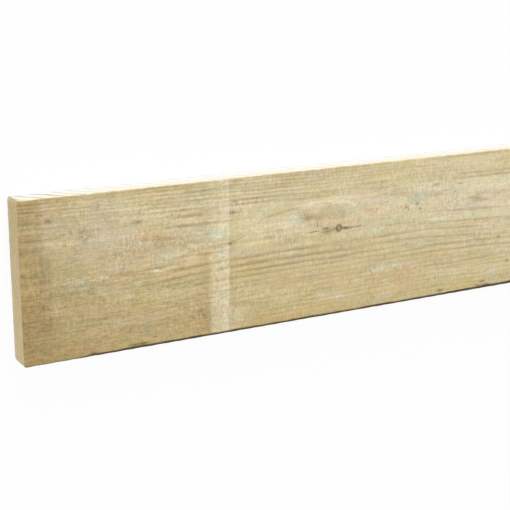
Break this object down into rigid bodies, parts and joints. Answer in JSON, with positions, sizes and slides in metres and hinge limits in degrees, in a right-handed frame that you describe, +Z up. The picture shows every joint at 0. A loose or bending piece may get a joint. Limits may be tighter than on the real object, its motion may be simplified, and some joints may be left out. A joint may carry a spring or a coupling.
{
  "type": "timber plank",
  "caption": "Long flat rough-sawn softwood plank with square-cut ends and lightly worn arrises, stock for fencing, edging, shelving and general building.",
  "frame": {"origin": "middle of the underside, the broad face that the plank rests on", "axes": "+X along the plank's length, +Y across its width, +Z up through its thickness"},
  "size_m": [1.8, 0.15, 0.025],
  "materials": {
    "sawn_timber": "matte"
  },
  "bodies": {
    "root": {"plank": "sawn_timber"}
  },
  "joints": []
}
